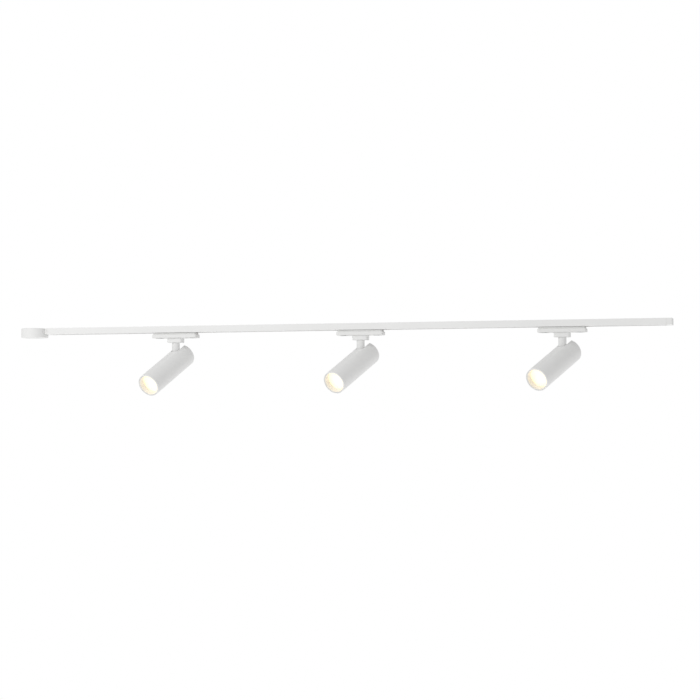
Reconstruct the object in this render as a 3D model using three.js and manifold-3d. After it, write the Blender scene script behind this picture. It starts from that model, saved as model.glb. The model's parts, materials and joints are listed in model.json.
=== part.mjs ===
// A surface-mounted single-circuit track light: a track 1.5 m long with its end cap, a round feed
// canopy just off its other end, and three cylindrical spot heads on sliding adapters.
// Millimetres, +Z up. The origin is on the ceiling plane, on the track's top face at mid-length;
// +X runs along the track away from the canopy, and everything hangs below z = 0.
import * as THREE from "three";
import { mergeVertices } from "three/addons/utils/BufferGeometryUtils.js";
import Module from "manifold-3d";

const wasm = await Module();
wasm.setup();

// ---------------------------------------------------------------- driving dimensions

// Track extrusion
const trackLength = 1488;
const trackWidth = 35;
const trackHeight = 15.4;
const trackWall = 1.5;
const trackLip = 3.3; // how far each bottom flange reaches past the insulator's inner face
const trackHoleRadius = 2.5;
const trackHoles = [-600, -200, 200, 600];

// Insulator strips and copper conductors
const insulatorThickness = 3.6;
const conductorThickness = 2;
const conductorHeight = 3;
const conductorRecess = 0.4;
const stripInset = 1; // strips stop this far short of the track's ends

// End cap and feed connector
const capLength = 12;
const capEdge = 0.8;
const plugLength = 20;
const connectorWidth = 22;
const connectorReach = 6; // how far the feed connector runs into the canopy
const connectorPlug = 25;

// Feed canopy
const canopyDiameter = 65;
const canopyDepth = 22.5;
const canopyWall = 1.6;
const canopyEdge = 1;
const canopyGap = 8; // between the canopy and the track's end, where the connector shows
const plateThickness = 1.5;
const earLength = 12;
const earDrop = 11;
const earThickness = 1.5;
const earInset = 1; // the ears stand just inside the cover's wall
const plateFixingSpacing = 40.6;
const grubRadius = 1.5;
const grubDrop = 1.5; // the screw sits below the middle of its ear
const grubSunk = 0.2;
const grubSocketRadius = 0.75;
const grubSocketDepth = 1.2;
const cableRadius = 4;
const bushWall = 1.4;
const bushRimWidth = 1;
const bushRimDrop = 2;
const bushGap = 3; // on each side of the bush
const notchGap = 1; // round the connector, in the plate
const blockLength = 16;
const blockWidth = 24;
const blockHeight = 11;
const poleCount = 3;
const poleHoleRadius = 1.8;
const poleWellRadius = 1.5;
const poleHoleDrop = 6.05;

// Adapter
const adapterLength = 110.5;
const adapterWidth = 32;
const adapterHeight = 8.2;
const adapterCorner = 4;
const adapterEdge = 0.7;
const shoeLength = 106;
const shoeWidth = 27;
const shoeHeight = 4;
const neckLength = 50;
const neckWall = 1.6;
const floorThickness = 2;
const rotorSpacing = 80; // between the lock's axis and the contact rotor's axis
const rotorShaftRadius = 4.4;
const wingThickness = 2;
const wingWidth = 8;
const thumbRadius = 10.8;
const thumbDepth = 3;
const gripWidth = 3.6;
const contactWidth = 5;
const contactThickness = 2;
const contactLength = 7;
const armShort = 2.5; // the contact arm ends this far short of the insulators

// Swivel base and stem
const stemDiameter = 18.4;
const stemLip = 1.4; // the flange that the swivel base holds
const stemBore = 8;
const leadExitRadius = 3;
const stemRoom = 3; // left free round the stem's lower end inside the lamp body
const baseLength = 37;
const baseHeight = 10.6;
const baseWall = 1.1;
const baseFloor = 4;
const baseCorner = 6;

// Spot head
const bodyDiameter = 55;
const bodyLength = 157.5;
const bodyWall = 2;
const bodyEdge = 0.5;
const bodyRear = 38.4; // from the tilt pin back to the open rear end
const leastTilt = 24; // degrees below level: there the slot's front end stops the stem
const pinRadius = 2.5;
const pinProud = 1; // past each cheek
const cheekThickness = 2;
const cheekRadius = 7;
const bulkheadThickness = 2.5;
const skirtThickness = 2.5;
const sinkPlate = 6;
const leadHoleOffset = 15.8; // from the head's axis, in the bulkhead and in the heat sink
const leadHoleRadius = 2;
const driverLeadRoom = 12; // left free in the heat sink for the leads' bend
const driverWidth = 26;
const driverHeight = 16;
const ledSize = 19;
const ledThickness = 1.6;
const ledBoardThickness = 0.96;
const ledDomeRadius = 6.84;
const reflectorDepth = 30;
const reflectorWall = 1;
const reflectorThroat = 8.1;
const reflectorClear = 0.5;
const reflectorSteps = 4;
const lensThickness = 2.5;
const ringDepth = 15;
const ringWall = 1.3;
const ringFlare = 0.8; // how much wider the ring is at the mouth than at the lens
const ringSunk = 0.6;

// Where each head sits along the track, and how it is aimed, in degrees
const heads = [
  { place: -420, pan: -107.9, tilt: 29.5 },
  { place: 36, pan: -110.9, tilt: 27.9 },
  { place: 508, pan: -113.7, tilt: 26.4 },
];

// Clearances
const fit = 0.1; // pieces pushed together
const seat = 0.3; // pieces that rest on each other in a turned head
const turn = 0.2; // a shaft in its bore
const slide = 0.5; // the adapter in the track
const swing = 0.8; // the stem in the body's slot, on each side
const sweep = 0.45; // the body's rear corners past the swivel base

const over = 1; // a cutting tool past what it cuts, and one joined solid into the next

// Facets round a turned piece
const fine = 32;
const medium = 20;
const coarse = 12;
const hexagon = 6;

// ---------------------------------------------------------------- worked-out places

const trackHalf = trackLength / 2;
const webUnder = -trackWall;
const lipTop = -trackHeight + trackWall;
const sideInner = trackWidth / 2 - trackWall;
const chamberHalf = sideInner - fit - insulatorThickness;
const slotHalf = chamberHalf - trackLip;
const chamberMiddle = (webUnder + lipTop) / 2;
const conductorFace = chamberHalf + conductorRecess;

const canopyRadius = canopyDiameter / 2;
const canopyX = -trackHalf - canopyGap - canopyRadius;
const connectorEnd = -canopyGap - canopyWall - connectorReach - trackHalf;

const shoeTop = -trackHeight - slide;
const adapterTop = shoeTop - shoeHeight;
const adapterBottom = adapterTop - adapterHeight;
const neckHalf = slotHalf - slide;
const thumbTop = adapterBottom + thumbDepth;

const stemRadius = stemDiameter / 2;
const flangeRadius = stemRadius + stemLip;
const baseWidth = 2 * (flangeRadius + turn + baseWall);
const baseBottom = adapterBottom - fit - baseHeight;

const bodyRadius = bodyDiameter / 2;
const boreRadius = bodyRadius - bodyWall;
const bodySlotHalf = stemRadius + swing;
const stopAngle = THREE.MathUtils.degToRad(leastTilt);
const rearCorner = Math.hypot(bodyRear, Math.sqrt(bodyRadius ** 2 - bodySlotHalf ** 2));
const pivotZ = baseBottom - sweep - rearCorner;
const bodyFront = bodyLength - bodyRear;
const bulkheadBack = stemRadius + stemRoom;
const bulkheadFront = bulkheadBack + bulkheadThickness;
const lensFront = bodyFront - ringDepth;
const lensBack = lensFront - lensThickness;
const reflectorBack = lensBack - seat - reflectorDepth;
const ledBack = reflectorBack - seat - ledThickness;
const insertRadius = boreRadius - seat; // everything that slides into the body's bore

// ---------------------------------------------------------------- finishes

const finish = (color, roughness, metalness = 0) =>
  new THREE.MeshStandardMaterial({ color, roughness, metalness });
const whitePaint = finish(0xefefec, 0.45);
const whitePlastic = finish(0xebebe8, 0.5);
const greyPlastic = finish(0x8c8e90, 0.55);
const blackPlastic = finish(0x222324, 0.5);
const copper = finish(0xc77b4a, 0.3, 1);
const steel = finish(0xb9bcc0, 0.35, 1);
const rawAluminium = finish(0xb4b7ba, 0.4, 1);
const phosphor = finish(0xf4d66a, 0.5);
const brightReflector = finish(0xf3ead8, 0.2, 0.6);
const frostedLens = finish(0xfff6e4, 0.3);

// ---------------------------------------------------------------- solids

// A closed three.js geometry as a manifold-3d solid.
function toSolid(geometry) {
  const bare = geometry.clone();
  bare.deleteAttribute("normal");
  bare.deleteAttribute("uv");
  const merged = mergeVertices(bare, 1e-4);
  const corners = merged.index.array;
  const faces = [];
  for (let i = 0; i < corners.length; i += 3) {
    const [a, b, c] = [corners[i], corners[i + 1], corners[i + 2]];
    if (a !== b && b !== c && c !== a) faces.push(a, b, c);
  }
  const build = (list) =>
    new wasm.Manifold(
      new wasm.Mesh({
        numProp: 3,
        vertProperties: new Float32Array(merged.attributes.position.array),
        triVerts: new Uint32Array(list),
      }),
    );
  const solid = build(faces);
  return solid.volume() < 0 ? build(faces.reverse()) : solid;
}

function toGeometry(solid) {
  const mesh = solid.getMesh();
  const geometry = new THREE.BufferGeometry();
  geometry.setAttribute("position", new THREE.BufferAttribute(new Float32Array(mesh.vertProperties), 3));
  geometry.setIndex(new THREE.BufferAttribute(new Uint32Array(mesh.triVerts), 1));
  geometry.computeVertexNormals();
  return geometry;
}

const cut = (solid, ...tools) => tools.reduce((left, tool) => left.subtract(tool), solid);
const join = (solid, ...others) => others.reduce((left, other) => left.add(other), solid);

function box([x0, x1], [y0, y1], [z0, z1]) {
  const geometry = new THREE.BoxGeometry(x1 - x0, y1 - y0, z1 - z0);
  geometry.translate((x0 + x1) / 2, (y0 + y1) / 2, (z0 + z1) / 2);
  return toSolid(geometry);
}

// Turns a geometry made along three.js's own axis (Y for cylinders and lathes) to another one.
function layAlong(geometry, axis) {
  if (axis === "x") geometry.rotateZ(-Math.PI / 2);
  if (axis === "z") geometry.rotateX(Math.PI / 2);
  return geometry;
}

function rod(axis, radius, from, to, centre = [0, 0, 0], segments = coarse) {
  const geometry = new THREE.CylinderGeometry(radius, radius, Math.abs(to - from), segments);
  layAlong(geometry, axis);
  const middle = (from + to) / 2;
  const along = { x: [middle, 0, 0], y: [0, middle, 0], z: [0, 0, middle] }[axis];
  geometry.translate(along[0] + centre[0], along[1] + centre[1], along[2] + centre[2]);
  return toSolid(geometry);
}

// A profile of [radius, distance along the axis] points turned about x or z.
function turned(axis, profile, segments = fine, centre = [0, 0, 0]) {
  const points = profile.map(([radius, along]) => new THREE.Vector2(radius, along));
  const geometry = layAlong(new THREE.LatheGeometry(points, segments), axis);
  geometry.translate(...centre);
  return toSolid(geometry);
}

function roundedOutline(length, width, radius) {
  const [x, y] = [length / 2, width / 2];
  const shape = new THREE.Shape();
  shape.moveTo(-x + radius, -y);
  shape.lineTo(x - radius, -y);
  shape.absarc(x - radius, -y + radius, radius, -Math.PI / 2, 0);
  shape.lineTo(x, y - radius);
  shape.absarc(x - radius, y - radius, radius, 0, Math.PI / 2);
  shape.lineTo(-x + radius, y);
  shape.absarc(-x + radius, y - radius, radius, Math.PI / 2, Math.PI);
  shape.lineTo(-x, -y + radius);
  shape.absarc(-x + radius, -y + radius, radius, Math.PI, 1.5 * Math.PI);
  return shape;
}

// A plate with rounded corners between two heights, its long edges broken by `edge`.
function plate(length, width, radius, [z0, z1], edge = 0) {
  const outline = roundedOutline(length - 2 * edge, width - 2 * edge, radius - edge);
  const geometry = new THREE.ExtrudeGeometry(outline, {
    depth: z1 - z0 - 2 * edge,
    curveSegments: 5,
    bevelEnabled: edge > 0,
    bevelThickness: edge,
    bevelSize: edge,
    bevelSegments: 1,
  });
  geometry.translate(0, 0, z0 + edge);
  return toSolid(geometry);
}

// A bar whose two ends are arcs about its own centre, so that it can turn in a round room.
function arcEndedBar(halfLength, width, [z0, z1]) {
  const bar = box([-width / 2, width / 2], [-halfLength - over, halfLength + over], [z0, z1]);
  return bar.intersect(rod("z", halfLength, z0 - over, z1 + over, [0, 0, 0], medium));
}

// Extrudes a closed outline of [y, z] points along x.
function extrudeAlongX(outline, from, to) {
  const shape = new THREE.Shape(outline.map(([y, z]) => new THREE.Vector2(y, z)));
  const geometry = new THREE.ExtrudeGeometry(shape, { depth: to - from, bevelEnabled: false });
  geometry.rotateY(Math.PI / 2);
  geometry.rotateX(Math.PI / 2);
  geometry.translate(from, 0, 0);
  return toSolid(geometry);
}

const fixture = new THREE.Group();

function addPiece(group, name, solid, material) {
  const mesh = new THREE.Mesh(toGeometry(solid), material);
  mesh.name = name;
  group.add(mesh);
}

// ---------------------------------------------------------------- track

// Channel section: web on the ceiling, two sides, two bottom flanges with the slot between them.
function trackProfile() {
  const half = trackWidth / 2;
  const outline = [
    [-half, 0],
    [-half, -trackHeight],
    [-slotHalf, -trackHeight],
    [-slotHalf, lipTop],
    [-sideInner, lipTop],
    [-sideInner, webUnder],
    [sideInner, webUnder],
    [sideInner, lipTop],
    [slotHalf, lipTop],
    [slotHalf, -trackHeight],
    [half, -trackHeight],
    [half, 0],
  ];
  const holes = trackHoles.map((x) => rod("z", trackHoleRadius, webUnder - over, over, [x, 0, 0]));
  return cut(extrudeAlongX(outline, -trackHalf, trackHalf), ...holes);
}

// One strip: a bar against the track's side with a groove that holds the conductor.
function insulatorStrip(side) {
  const [inner, outer] = [chamberHalf, sideInner - fit];
  const grooveHalf = conductorHeight / 2 + fit;
  const grooveBack = conductorFace + conductorThickness + fit;
  const outline = [
    [inner, webUnder - fit],
    [outer, webUnder - fit],
    [outer, lipTop + fit],
    [inner, lipTop + fit],
    [inner, chamberMiddle - grooveHalf],
    [grooveBack, chamberMiddle - grooveHalf],
    [grooveBack, chamberMiddle + grooveHalf],
    [inner, chamberMiddle + grooveHalf],
  ].map(([y, z]) => [side * y, z]);
  return extrudeAlongX(outline, -trackHalf + stripInset, trackHalf - stripInset);
}

function conductorStrip(side) {
  const sides = [side * conductorFace, side * (conductorFace + conductorThickness)].sort((a, b) => a - b);
  const heights = [chamberMiddle - conductorHeight / 2, chamberMiddle + conductorHeight / 2];
  return box([-trackHalf + stripInset, trackHalf - stripInset], sides, heights);
}

// The part of an end piece that pushes into the track, between the insulators.
const trackPlug = (from, to) =>
  box([from, to], [-chamberHalf + 2 * fit, chamberHalf - 2 * fit], [lipTop + 2 * fit, webUnder - 2 * fit]);

function endCap() {
  const outline = roundedOutline(trackHeight, trackWidth, capEdge + fit);
  const geometry = new THREE.ExtrudeGeometry(outline, {
    depth: capLength - capEdge - fit,
    curveSegments: 3,
    bevelEnabled: true,
    bevelThickness: capEdge,
    bevelSize: capEdge,
    bevelOffset: -capEdge,
    bevelSegments: 2,
  });
  geometry.rotateY(Math.PI / 2);
  geometry.translate(trackHalf + fit, 0, -trackHeight / 2);
  const back = trackHalf + fit;
  const cap = toSolid(geometry).intersect(
    box([back, trackHalf + capLength], [-trackWidth, trackWidth], [-2 * trackHeight, trackHeight]),
  );
  return join(cap, trackPlug(trackHalf - plugLength, back + over));
}

// Shows as a narrow neck between the canopy and the track.
function feedConnector() {
  const end = -trackHalf - fit;
  const head = box(
    [connectorEnd, end],
    [-connectorWidth / 2, connectorWidth / 2],
    [-trackHeight + fit, -seat],
  );
  return join(head, trackPlug(end - over, end + connectorPlug));
}

addPiece(fixture, "track_profile", trackProfile(), whitePaint);
addPiece(fixture, "insulator_front", insulatorStrip(-1), greyPlastic);
addPiece(fixture, "insulator_back", insulatorStrip(1), greyPlastic);
addPiece(fixture, "conductor_live", conductorStrip(-1), copper);
addPiece(fixture, "conductor_neutral", conductorStrip(1), copper);
addPiece(fixture, "end_cap", endCap(), whitePlastic);
addPiece(fixture, "feed_connector", feedConnector(), whitePlastic);

// ---------------------------------------------------------------- feed canopy

const canopy = new THREE.Group();
canopy.position.x = canopyX;
fixture.add(canopy);

const earOuter = canopyRadius - canopyWall - earInset;
const grubZ = -(plateThickness + earDrop) / 2 - grubDrop;
const connectorStart = connectorEnd - canopyX; // from the canopy's own axis
const bushX = connectorStart - bushGap - bushWall - cableRadius;
const blockX = bushX - cableRadius - bushWall - bushGap - blockLength / 2;

function canopyCover() {
  const inner = canopyRadius - canopyWall;
  const shell = turned("z", [
    [0, -canopyDepth],
    [canopyRadius - canopyEdge, -canopyDepth],
    [canopyRadius, -canopyDepth + canopyEdge],
    [canopyRadius, -seat],
    [inner, -seat],
    [inner, -canopyDepth + canopyWall],
    [0, -canopyDepth + canopyWall],
  ]);
  const mouth = box(
    [0, canopyRadius + over],
    [-connectorWidth / 2 - slide, connectorWidth / 2 + slide],
    [-trackHeight - slide, over],
  );
  const screwHole = rod("y", grubRadius + turn, 0, canopyRadius + over, [0, 0, grubZ]);
  return cut(shell, mouth, screwHole);
}

function canopyPlate() {
  const radius = canopyRadius - canopyWall - seat;
  const disc = rod("z", radius, -plateThickness, 0, [0, 0, 0], fine);
  const notch = box(
    [connectorStart - notchGap, radius + over],
    [-connectorWidth / 2 - notchGap, connectorWidth / 2 + notchGap],
    [-plateThickness - over, over],
  );
  const ears = [-1, 1].map((side) => {
    const sides = [side * (earOuter - earThickness), side * earOuter].sort((a, b) => a - b);
    return box([-earLength / 2, earLength / 2], sides, [-plateThickness - earDrop, -plateThickness / 2]);
  });
  const cableHole = rod("z", cableRadius + bushWall + fit, -plateThickness - over, over, [bushX, 0, 0]);
  const fixingHoles = [-1, 1].map((side) => {
    const centre = [0, (side * plateFixingSpacing) / 2, 0];
    return rod("z", trackHoleRadius, -plateThickness - over, over, centre);
  });
  const screwHole = rod("y", grubRadius + turn, 0, canopyRadius, [0, 0, grubZ]);
  const outline = rod("z", radius, -plateThickness - earDrop - over, over, [0, 0, 0], fine);
  return cut(join(disc, ...ears).intersect(outline), notch, cableHole, ...fixingHoles, screwHole);
}

function canopyScrew() {
  const head = canopyRadius - grubSunk;
  const centre = [0, 0, grubZ];
  const body = rod("y", grubRadius, earOuter - earThickness - over, head, centre);
  const socket = rod("y", grubSocketRadius, head - grubSocketDepth, canopyRadius, centre, hexagon);
  return cut(body, socket);
}

// A row of poles: a wire hole along x and a screw well from below for each pole.
function terminalBlock() {
  const top = -plateThickness - fit;
  const block = box(
    [blockX - blockLength / 2, blockX + blockLength / 2],
    [-blockWidth / 2, blockWidth / 2],
    [top - blockHeight, top],
  );
  const pitch = blockWidth / poleCount;
  const poles = Array.from({ length: poleCount }, (_, i) => (i + 0.5) * pitch - blockWidth / 2);
  const wireZ = top - poleHoleDrop;
  const wireHoles = poles.map((y) =>
    rod("x", poleHoleRadius, blockX - blockLength, blockX + blockLength, [0, y, wireZ]),
  );
  const wells = poles.map((y) => rod("z", poleWellRadius, top - blockHeight - over, wireZ, [blockX, y, 0]));
  return cut(block, ...wireHoles, ...wells);
}

// A grommet: its neck in the plate's hole, and a rim below the plate.
function cableBush() {
  const outer = cableRadius + bushWall;
  return turned(
    "z",
    [
      [cableRadius, 0],
      [outer, 0],
      [outer, -plateThickness - fit],
      [outer + bushRimWidth, -plateThickness - fit],
      [outer + bushRimWidth, -plateThickness - bushRimDrop],
      [cableRadius, -plateThickness - bushRimDrop],
      [cableRadius, 0],
    ],
    coarse,
    [bushX, 0, 0],
  );
}

addPiece(canopy, "canopy_cover", canopyCover(), whitePaint);
addPiece(canopy, "canopy_plate", canopyPlate(), steel);
addPiece(canopy, "canopy_screw", canopyScrew(), steel);
addPiece(canopy, "terminal_block", terminalBlock(), whitePlastic);
addPiece(canopy, "cable_bush", cableBush(), blackPlastic);

// ---------------------------------------------------------------- adapter

const rotorPlaces = { lock: -rotorSpacing / 2, contact: rotorSpacing / 2 };

// Body under the track, narrower shoe above it, and a hollow neck that stands up in the slot.
function adapterHousing() {
  const body = plate(adapterLength, adapterWidth, adapterCorner, [adapterBottom, adapterTop], adapterEdge);
  const shoe = plate(shoeLength, shoeWidth, adapterCorner, [adapterTop - over, shoeTop]);
  const neck = box(
    [-neckLength / 2, neckLength / 2],
    [-neckHalf, neckHalf],
    [shoeTop - over, webUnder - 2 * slide],
  );
  const room = box(
    [-neckLength / 2 + neckWall, neckLength / 2 - neckWall],
    [-neckHalf + neckWall, neckHalf - neckWall],
    [adapterBottom + floorThickness, 0],
  );
  const wireHole = rod("z", stemBore / 2, adapterBottom - over, adapterBottom + floorThickness + over);
  const rotorRooms = Object.values(rotorPlaces).flatMap((x) => [
    rod("z", rotorShaftRadius + turn, adapterBottom - over, 0, [x, 0, 0]),
    rod("z", thumbRadius + turn, adapterBottom - over, thumbTop, [x, 0, 0], medium),
  ]);
  return cut(join(body, shoe, neck), room, wireHole, ...rotorRooms);
}

// Thumb disc with a grip bar, sunk in the housing's underside, and the shaft that it turns.
function thumbAndShaft(shaftTop) {
  const discBottom = adapterBottom + thumbDepth / 2;
  const disc = rod("z", thumbRadius, discBottom, thumbTop - fit, [0, 0, 0], medium);
  const grip = arcEndedBar(thumbRadius - fit, gripWidth, [adapterBottom + fit, discBottom + over / 2]);
  return join(disc, grip, rod("z", rotorShaftRadius, discBottom, shaftTop));
}

// The wing lies across the track above both flanges and holds the adapter up.
function lockLever() {
  const wingBottom = lipTop + seat;
  const wing = arcEndedBar(chamberHalf - slide, wingWidth, [wingBottom, wingBottom + wingThickness]);
  return join(thumbAndShaft(wingBottom + wingThickness), wing);
}

const armHalf = chamberHalf - armShort;
const armZ = [chamberMiddle - contactThickness, chamberMiddle + contactThickness];
const contactZ = [chamberMiddle - contactThickness / 2, chamberMiddle + contactThickness / 2];
const contactTip = (chamberHalf + conductorFace) / 2;

function contactRotor() {
  const arm = arcEndedBar(armHalf, wingWidth, armZ);
  const pockets = [-1, 1].map((side) => {
    const ends = [side * (contactTip - contactLength - fit), side * (armHalf + over)];
    const sides = ends.sort((a, b) => a - b);
    const heights = [contactZ[0] - fit, contactZ[1] + fit];
    return box([-contactWidth / 2 - fit, contactWidth / 2 + fit], sides, heights);
  });
  return cut(join(thumbAndShaft(armZ[1]), arm), ...pockets);
}

// A copper blade in the rotor's pocket, its round tip reaching for the conductor.
function contactBlade(side) {
  const sides = [side * (contactTip - contactLength), side * (contactTip + over)].sort((a, b) => a - b);
  const blade = box([-contactWidth / 2, contactWidth / 2], sides, contactZ);
  return blade.intersect(rod("z", contactTip, contactZ[0] - over, contactZ[1] + over, [0, 0, 0], fine));
}

// ---------------------------------------------------------------- swivel base and stem

const boreTop = adapterBottom - fit;
const flangeBottom = baseBottom + baseFloor + fit;

// The stem drops in from above: its flange rests in the counterbore and the housing closes it.
function swivelBase() {
  const block = plate(baseLength, baseWidth, baseCorner, [baseBottom, boreTop], 0);
  const passage = rod("z", stemRadius + turn, baseBottom - over, boreTop, [0, 0, 0], medium);
  const counterbore = rod("z", flangeRadius + turn, baseBottom + baseFloor, 0, [0, 0, 0], medium);
  return cut(block, passage, counterbore);
}

// A hollow turned stem with a round lower end about the tilt pin.
function stem() {
  const shaft = rod("z", stemRadius, pivotZ, flangeBottom + over, [0, 0, 0], medium);
  const flange = rod("z", flangeRadius, flangeBottom, boreTop - fit, [0, 0, 0], medium);
  const knuckle = rod("z", stemRadius, pivotZ - stemRadius, pivotZ, [0, 0, 0], medium).intersect(
    rod("y", stemRadius, -stemRadius, stemRadius, [0, 0, pivotZ], medium),
  );
  const wireBore = rod("z", stemBore / 2, pivotZ + 2 * pinRadius, 0);
  const pinHole = rod("y", pinRadius + turn, -stemRadius - over, stemRadius + over, [0, 0, pivotZ], medium);
  const exitZ = pivotZ + stemRadius + stemBore / 2;
  const wireExit = rod("x", leadExitRadius, 0, stemRadius + over, [0, 0, exitZ]);
  return cut(join(shaft, flange, knuckle), wireBore, pinHole, wireExit);
}

// ---------------------------------------------------------------- spot head, along +X from the tilt pin

// Open-ended tube with the stem's slot in its top rear, rounded at the front about the pin.
function bodyTube() {
  const shell = turned("x", [
    [boreRadius, -bodyRear],
    [bodyRadius - bodyEdge, -bodyRear],
    [bodyRadius, -bodyRear + bodyEdge],
    [bodyRadius, bodyFront - bodyEdge],
    [bodyRadius - bodyEdge, bodyFront],
    [boreRadius, bodyFront],
    [boreRadius, -bodyRear],
  ]);
  const stopX = stemRadius * (1 / Math.cos(stopAngle) - 1) - boreRadius * Math.tan(stopAngle);
  const slotEnd = rod("z", bodySlotHalf, 0, bodyRadius + over, [stopX, 0, 0], medium);
  const slot = box([-bodyRear - over, stopX], [-bodySlotHalf, bodySlotHalf], [0, bodyRadius + over]);
  return cut(shell, slot, slotEnd);
}

const cheekInner = stemRadius + 2 * seat;
const cheekOuter = cheekInner + cheekThickness;

// Bulkhead disc with two cheeks that carry the pin on either side of the stem.
function yoke() {
  const disc = rod("x", insertRadius, bulkheadBack, bulkheadFront, [0, 0, 0], medium);
  const wireHole = rod("x", stemBore / 2, bulkheadBack - over, bulkheadFront + over, [0, 0, leadHoleOffset]);
  const cheeks = [-1, 1].map((side) => {
    const sides = [side * cheekInner, side * cheekOuter].sort((a, b) => a - b);
    const arm = box([0, bulkheadBack + over], sides, [-cheekRadius, cheekRadius]);
    return join(arm, rod("y", cheekRadius, ...sides, [0, 0, 0], medium));
  });
  const pinHole = rod("y", pinRadius + fit, -boreRadius, boreRadius, [0, 0, 0], medium);
  return cut(join(cut(disc, wireHole), ...cheeks), pinHole);
}

const pinHalf = cheekOuter + pinProud;
const tiltPin = () => rod("y", pinRadius, -pinHalf, pinHalf, [0, 0, 0], medium);

// A cup of bare aluminium: the skirt houses the driver, and the plate carries the light source.
function heatSink() {
  const back = bulkheadFront + seat;
  const front = ledBack - seat;
  const inner = insertRadius - skirtThickness;
  const cup = turned("x", [
    [inner, back],
    [insertRadius, back],
    [insertRadius, front],
    [0, front],
    [0, front - sinkPlate],
    [inner, front - sinkPlate],
    [inner, back],
  ], medium);
  const wireHole = rod("x", leadHoleRadius, front - sinkPlate - over, front + over, [0, 0, leadHoleOffset]);
  return cut(cup, wireHole);
}

function driver() {
  const from = bulkheadFront + 2 * seat;
  const to = ledBack - seat - sinkPlate - driverLeadRoom;
  return box([from, to], [-driverWidth / 2, driverWidth / 2], [-driverHeight / 2, driverHeight / 2]);
}

function ledModule() {
  const half = ledSize / 2;
  const board = box([ledBack, ledBack + ledBoardThickness], [-half, half], [-half, half]);
  return join(board, rod("x", ledDomeRadius, ledBack, ledBack + ledThickness, [0, 0, 0], medium));
}

// A flared bowl from the light source to the lens, following a parabola.
function reflector() {
  const widening = insertRadius - reflectorClear - reflectorWall - reflectorThroat;
  const inside = Array.from({ length: reflectorSteps + 1 }, (_, i) => {
    const along = i / reflectorSteps;
    return [reflectorThroat + widening * Math.sqrt(along), reflectorBack + along * reflectorDepth];
  });
  const outside = inside.map(([radius, along]) => [radius + reflectorWall, along]).reverse();
  return turned("x", [...inside, ...outside, inside[0]], medium);
}

const lens = () => rod("x", insertRadius, lensBack, lensFront - seat, [0, 0, 0], medium);

// The anti-glare ring: pressed in against the lens, slightly flared towards the mouth.
function frontRing() {
  const [back, front] = [lensFront, bodyFront - ringSunk];
  const inner = insertRadius - ringWall;
  return turned("x", [
    [inner - ringFlare, back],
    [insertRadius, back],
    [insertRadius, front],
    [inner, front],
    [inner - ringFlare, back],
  ]);
}

// ---------------------------------------------------------------- the three heads

heads.forEach(({ place, pan, tilt }, index) => {
  const name = (piece) => `${piece}_${index + 1}`;

  const adapter = new THREE.Group();
  adapter.position.x = place;
  fixture.add(adapter);
  addPiece(adapter, name("adapter_housing"), adapterHousing(), whitePlastic);
  addPiece(adapter, name("swivel_base"), swivelBase(), whitePlastic);

  const lock = new THREE.Group();
  lock.position.x = rotorPlaces.lock;
  adapter.add(lock);
  addPiece(lock, name("lock_lever"), lockLever(), greyPlastic);

  const contacts = new THREE.Group();
  contacts.position.x = rotorPlaces.contact;
  adapter.add(contacts);
  addPiece(contacts, name("contact_rotor"), contactRotor(), greyPlastic);
  addPiece(contacts, name("contact_live"), contactBlade(-1), copper);
  addPiece(contacts, name("contact_neutral"), contactBlade(1), copper);

  const panned = new THREE.Group();
  panned.rotation.z = THREE.MathUtils.degToRad(pan);
  adapter.add(panned);
  addPiece(panned, name("stem"), stem(), whitePaint);

  const tilted = new THREE.Group();
  tilted.position.z = pivotZ;
  tilted.rotation.y = THREE.MathUtils.degToRad(tilt);
  panned.add(tilted);
  addPiece(tilted, name("body_tube"), bodyTube(), whitePaint);
  addPiece(tilted, name("yoke"), yoke(), whitePaint);
  addPiece(tilted, name("tilt_pin"), tiltPin(), steel);
  addPiece(tilted, name("heat_sink"), heatSink(), rawAluminium);
  addPiece(tilted, name("driver"), driver(), blackPlastic);
  addPiece(tilted, name("led_module"), ledModule(), phosphor);
  addPiece(tilted, name("reflector"), reflector(), brightReflector);
  addPiece(tilted, name("lens"), lens(), frostedLens);
  addPiece(tilted, name("front_ring"), frontRing(), whitePlastic);
});

export default fixture;
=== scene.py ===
import json
import math

import bmesh
import bpy
from mathutils import Matrix, Vector


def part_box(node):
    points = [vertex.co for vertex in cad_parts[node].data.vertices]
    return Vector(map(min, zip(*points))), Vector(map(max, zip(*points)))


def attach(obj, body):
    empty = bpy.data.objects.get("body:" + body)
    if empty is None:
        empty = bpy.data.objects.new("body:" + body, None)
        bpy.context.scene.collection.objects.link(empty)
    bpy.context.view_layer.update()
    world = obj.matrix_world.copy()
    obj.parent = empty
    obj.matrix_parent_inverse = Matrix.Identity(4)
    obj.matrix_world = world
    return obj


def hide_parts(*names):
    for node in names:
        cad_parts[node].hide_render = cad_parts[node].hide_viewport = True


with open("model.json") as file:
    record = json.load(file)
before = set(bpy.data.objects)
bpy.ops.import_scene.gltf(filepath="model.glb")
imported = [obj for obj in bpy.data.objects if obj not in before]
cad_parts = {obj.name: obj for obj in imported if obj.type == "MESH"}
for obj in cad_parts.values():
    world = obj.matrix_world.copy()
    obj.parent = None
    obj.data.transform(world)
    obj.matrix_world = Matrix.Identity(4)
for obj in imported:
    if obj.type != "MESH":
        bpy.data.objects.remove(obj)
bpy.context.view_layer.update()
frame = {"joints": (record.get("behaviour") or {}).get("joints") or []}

# A surface-mounted track light: an extruded track with a feed canopy at its left end and a cap at
# its right, and three cylindrical lamps that slide along it, turn about a stem, and tilt on a pin.
scene = bpy.context.scene

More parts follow.
